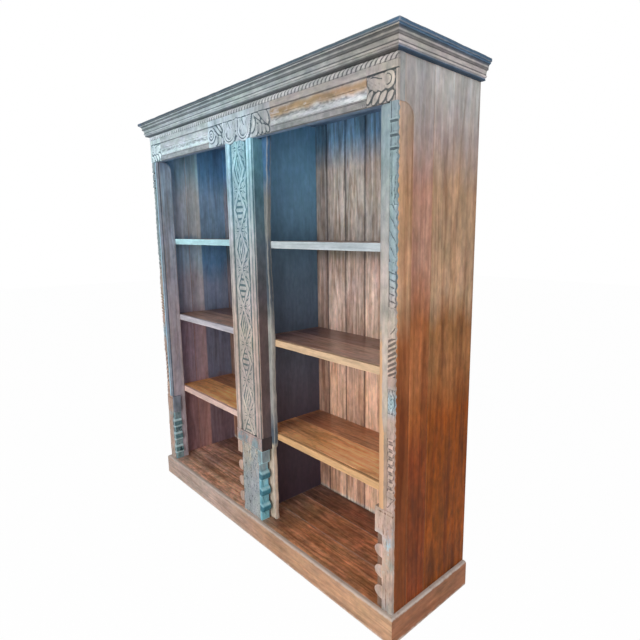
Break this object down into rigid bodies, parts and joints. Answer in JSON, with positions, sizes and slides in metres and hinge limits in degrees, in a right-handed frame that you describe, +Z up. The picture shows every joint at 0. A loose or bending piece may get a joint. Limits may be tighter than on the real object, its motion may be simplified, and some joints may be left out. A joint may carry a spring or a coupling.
{
  "type": "open display bookcase",
  "caption": "Tall open bookcase of reclaimed wood: shelved bays side by side, a carved and painted front frame with a central pilaster, a moulded cornice and a plinth.",
  "frame": {"origin": "on the floor, under the middle of the whole piece", "axes": "+Z up, the open front faces -Y, +X to the right of someone who faces the front"},
  "size_m": [1.874, 0.477, 2],
  "materials": {
    "plinth_wood": "worn, waxed, pale at the top edge",
    "floor_wood": "dark, varnished",
    "side_wood": "weathered orange-brown, waxed",
    "shelf_wood": "varnished, figured",
    "lip_paint": "old paint worn back to the wood",
    "back_wood": "waxed planks with bevelled joints",
    "divider_paint": "dark blue-grey old paint",
    "carved_paint": "distressed turquoise and pale paint on carving",
    "cornice_paint": "distressed grey, lilac and brown paint",
    "hidden_wood": "plain sawn",
    "nail_iron": "dull, hammered"
  },
  "bodies": {
    "root": {"back_nails": "nail_iron", "back_planks_left": "back_wood", "back_planks_right": "back_wood", "backing_board": "carved_paint", "base_scallop_left": "carved_paint", "base_scallop_right": "carved_paint", "bead_rail_left": "carved_paint", "bead_rail_right": "carved_paint", "cartouche": "carved_paint", "carved_strip_left": "carved_paint", "carved_strip_right": "carved_paint", "centre_divider": "divider_paint", "corner_leaf_left": "carved_paint", "corner_leaf_right": "carved_paint", "corner_post_left": "side_wood", "corner_post_right": "side_wood", "cornice_back": "hidden_wood", "cornice_blocks": "hidden_wood", "cornice_front": "cornice_paint", "cornice_left": "cornice_paint", "cornice_right": "cornice_paint", "floor_bearers": "hidden_wood", "floor_board_front": "floor_wood", "floor_board_middle": "floor_wood", "floor_board_rear": "floor_wood", "frieze_panel_left": "carved_paint", "frieze_panel_right": "carved_paint", "header_board": "hidden_wood", "pilaster_base": "carved_paint", "pilaster_collar": "carved_paint", "pilaster_core": "carved_paint", "pilaster_panel": "carved_paint", "pilaster_rail_left": "carved_paint", "pilaster_rail_right": "carved_paint", "plinth_back": "hidden_wood", "plinth_front": "plinth_wood", "plinth_left": "plinth_wood", "plinth_right": "plinth_wood", "post_block_left": "carved_paint", "post_block_right": "carved_paint", "post_rail_left": "carved_paint", "post_rail_right": "carved_paint", "post_scallop_left": "carved_paint", "post_scallop_right": "carved_paint", "rope_moulding": "carved_paint", "shelf_left_lower": "shelf_wood", "shelf_left_middle": "shelf_wood", "shelf_left_upper": "shelf_wood", "shelf_lips_left": "lip_paint", "shelf_lips_right": "lip_paint", "shelf_right_lower": "shelf_wood", "shelf_right_middle": "shelf_wood", "shelf_right_upper": "shelf_wood", "side_board_front_left": "side_wood", "side_board_front_right": "side_wood", "side_board_rear_left": "side_wood", "side_board_rear_right": "side_wood", "top_panel": "hidden_wood", "top_slab": "cornice_paint"}
  },
  "joints": []
}
